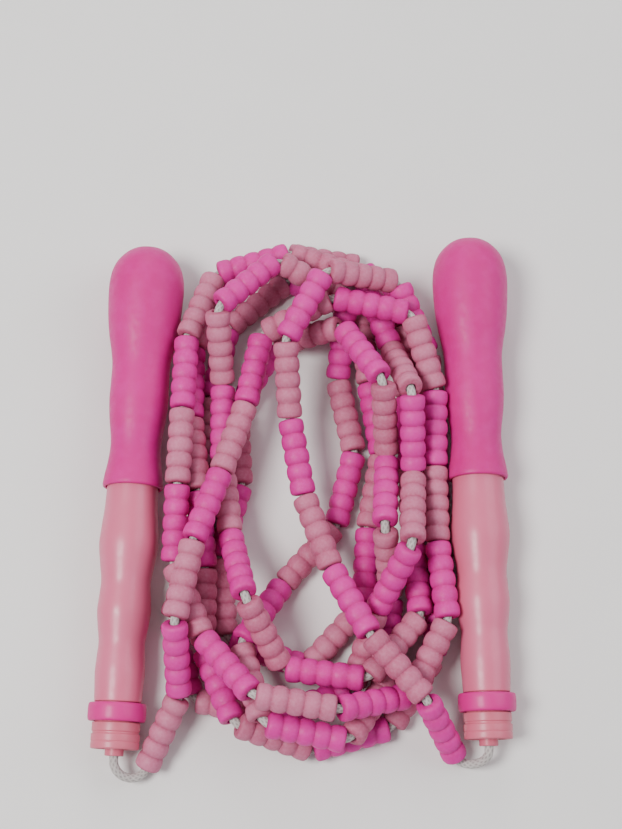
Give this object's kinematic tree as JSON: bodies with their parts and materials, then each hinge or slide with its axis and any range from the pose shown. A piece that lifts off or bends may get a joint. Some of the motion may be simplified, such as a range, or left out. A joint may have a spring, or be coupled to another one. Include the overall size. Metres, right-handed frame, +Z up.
{
  "type": "jump rope",
  "caption": "Child's beaded jump rope: a cord strung with lobed beads, wound in loose turns between two grip handles that swivel on the cord's ends.",
  "frame": {"origin": "on the surface the rope lies on, under the middle of the box round the two handles", "axes": "+Z up; +Y along the handles towards their butt ends; +X from the left handle to the right one"},
  "size_m": [0.1337, 0.1777, 0.0328],
  "materials": {
    "grip_sleeve": "soft vinyl, satin",
    "handle_tube": "smooth moulded, slightly translucent",
    "collar_ring": "smooth moulded",
    "end_cap": "smooth moulded, slightly translucent",
    "washer": "plain white nylon",
    "cord": "braided polyester",
    "pale_bead": "soft moulded, dusty matte",
    "pink_bead": "soft moulded, satin"
  },
  "bodies": {
    "rope": {"left_cord": "cord", "right_cord": "cord", "left_stopper_knot": "cord", "right_stopper_knot": "cord", "left_cord_washer": "washer", "right_cord_washer": "washer", "bead_001": "pale_bead", "bead_002": "pink_bead", "bead_003": "pale_bead", "bead_004": "pink_bead", "bead_005": "pale_bead", "bead_006": "pink_bead", "bead_007": "pale_bead", "bead_008": "pink_bead", "bead_009": "pale_bead", "bead_010": "pink_bead", "bead_011": "pale_bead", "bead_012": "pink_bead", "bead_013": "pale_bead", "bead_014": "pink_bead", "bead_015": "pale_bead", "bead_016": "pink_bead", "bead_017": "pale_bead", "bead_018": "pink_bead", "bead_019": "pale_bead", "bead_020": "pink_bead", "bead_081": "pale_bead", "bead_082": "pink_bead", "bead_083": "pale_bead", "bead_084": "pink_bead", "bead_085": "pale_bead", "bead_086": "pink_bead", "bead_087": "pale_bead", "bead_088": "pink_bead", "bead_089": "pale_bead", "bead_090": "pink_bead", "bead_091": "pale_bead", "bead_092": "pink_bead", "bead_093": "pale_bead", "bead_094": "pink_bead", "bead_095": "pale_bead", "bead_096": "pink_bead", "bead_097": "pale_bead", "bead_098": "pink_bead", "bead_099": "pale_bead", "bead_100": "pink_bead", "beads_021_to_035": "pale_bead", "beads_036_to_050": "pale_bead", "beads_051_to_065": "pale_bead", "beads_066_to_080": "pale_bead"},
    "left_handle": {"left_grip_sleeve": "grip_sleeve", "left_handle_tube": "handle_tube", "left_collar_ring": "collar_ring", "left_end_cap": "end_cap"},
    "right_handle": {"right_grip_sleeve": "grip_sleeve", "right_handle_tube": "handle_tube", "right_collar_ring": "collar_ring", "right_end_cap": "end_cap"}
  },
  "joints": [
    {"name": "left_handle_swivel", "type": "hinge", "parent": "rope", "child": "left_handle", "pos_m": [-0.0583, -0.082, 0.00873], "axis": [0.0384, 0.999, 0.0244], "continuous": true},
    {"name": "right_handle_swivel", "type": "hinge", "parent": "rope", "child": "right_handle", "pos_m": [0.0562, -0.079, 0.00873], "axis": [-0.0122, 0.9996, 0.0244], "continuous": true}
  ]
}
